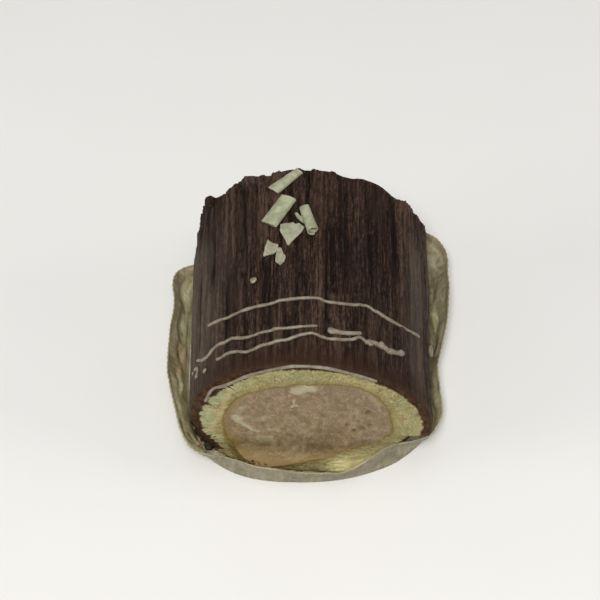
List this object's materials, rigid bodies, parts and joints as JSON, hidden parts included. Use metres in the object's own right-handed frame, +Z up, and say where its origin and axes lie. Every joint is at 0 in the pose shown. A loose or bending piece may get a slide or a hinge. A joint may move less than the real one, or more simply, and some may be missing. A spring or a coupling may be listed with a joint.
{
  "type": "chocolate swiss roll",
  "caption": "Swiss roll with a mousse core in a single wrap of sponge, combed chocolate covering, white chocolate strings and curls, sitting in a fluted paper case.",
  "frame": {"origin": "on the table, at the middle of the whole part's bounding box seen from above, under the flat base of the paper case", "axes": "+Z up; the roll lies along Y, and the cut end that shows best faces -Y"},
  "size_m": [0.0858, 0.085, 0.0641],
  "materials": {
    "chocolate": "satin, combed",
    "sponge": "porous crumb",
    "mousse": "soft matte with small pits",
    "white_chocolate": "satin",
    "paper": "fluted greaseproof paper"
  },
  "bodies": {
    "root": {"chocolate_covering": "chocolate", "sponge": "sponge", "filling": "mousse", "curl_1": "white_chocolate", "curl_2": "white_chocolate", "curl_3": "white_chocolate", "flake": "white_chocolate", "shard_1": "white_chocolate", "shard_2": "white_chocolate", "paper_case": "paper"}
  },
  "joints": []
}
